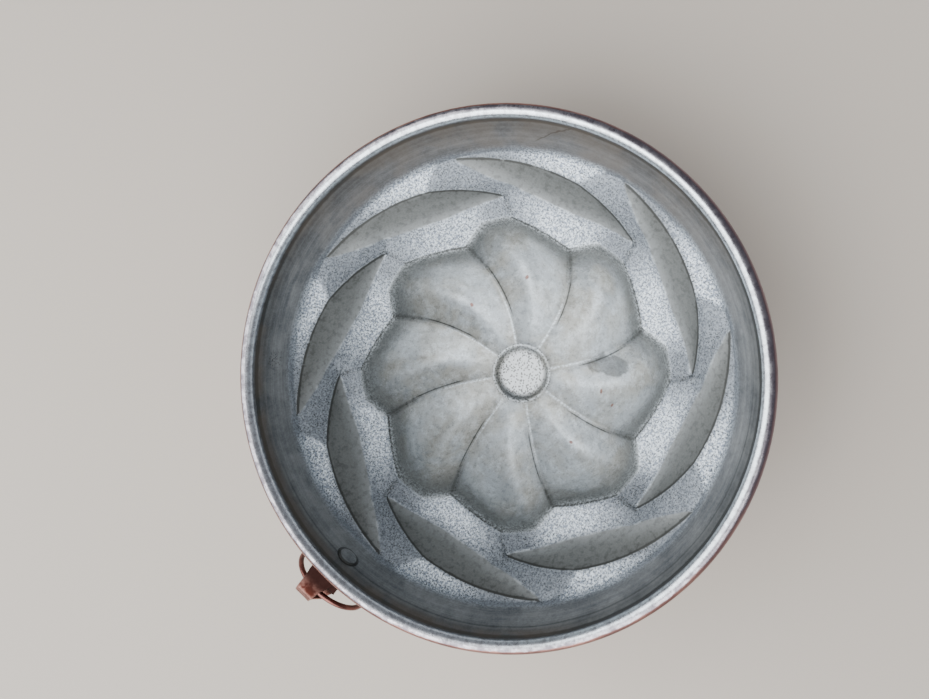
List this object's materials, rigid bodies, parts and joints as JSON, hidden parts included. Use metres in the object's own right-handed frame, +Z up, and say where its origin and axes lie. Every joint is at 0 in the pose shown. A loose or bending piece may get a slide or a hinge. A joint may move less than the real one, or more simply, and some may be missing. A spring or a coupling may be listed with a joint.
{
  "type": "swirl mould",
  "caption": "Round copper swirl mould, tinned inside, standing mouth up on its crown, with a wired rim and a ring that swings in a folded strap.",
  "frame": {"origin": "middle of the flat underside of the boss that the mould stands on", "axes": "+Z up out of the mouth, +X out to the hanger, +Y completes the right-handed frame"},
  "size_m": [0.215, 0.1998, 0.076],
  "materials": {
    "tinned_copper": "worn copper outside, dull grey tin inside",
    "iron_wire": "plain drawn wire, hidden in the rim",
    "copper": "darkened copper with a worn sheen"
  },
  "bodies": {
    "mould": {"mould_body": "tinned_copper", "rim_wire": "iron_wire", "hanger_strap": "copper", "hanger_rivet": "copper"},
    "ring": {"hanging_ring": "copper"}
  },
  "joints": [
    {"name": "ring_swing", "type": "hinge", "parent": "mould", "child": "ring", "pos_m": [0.1104, 0, 0.06684], "axis": [0, -1, 0], "range_deg": [-50, 229]}
  ]
}
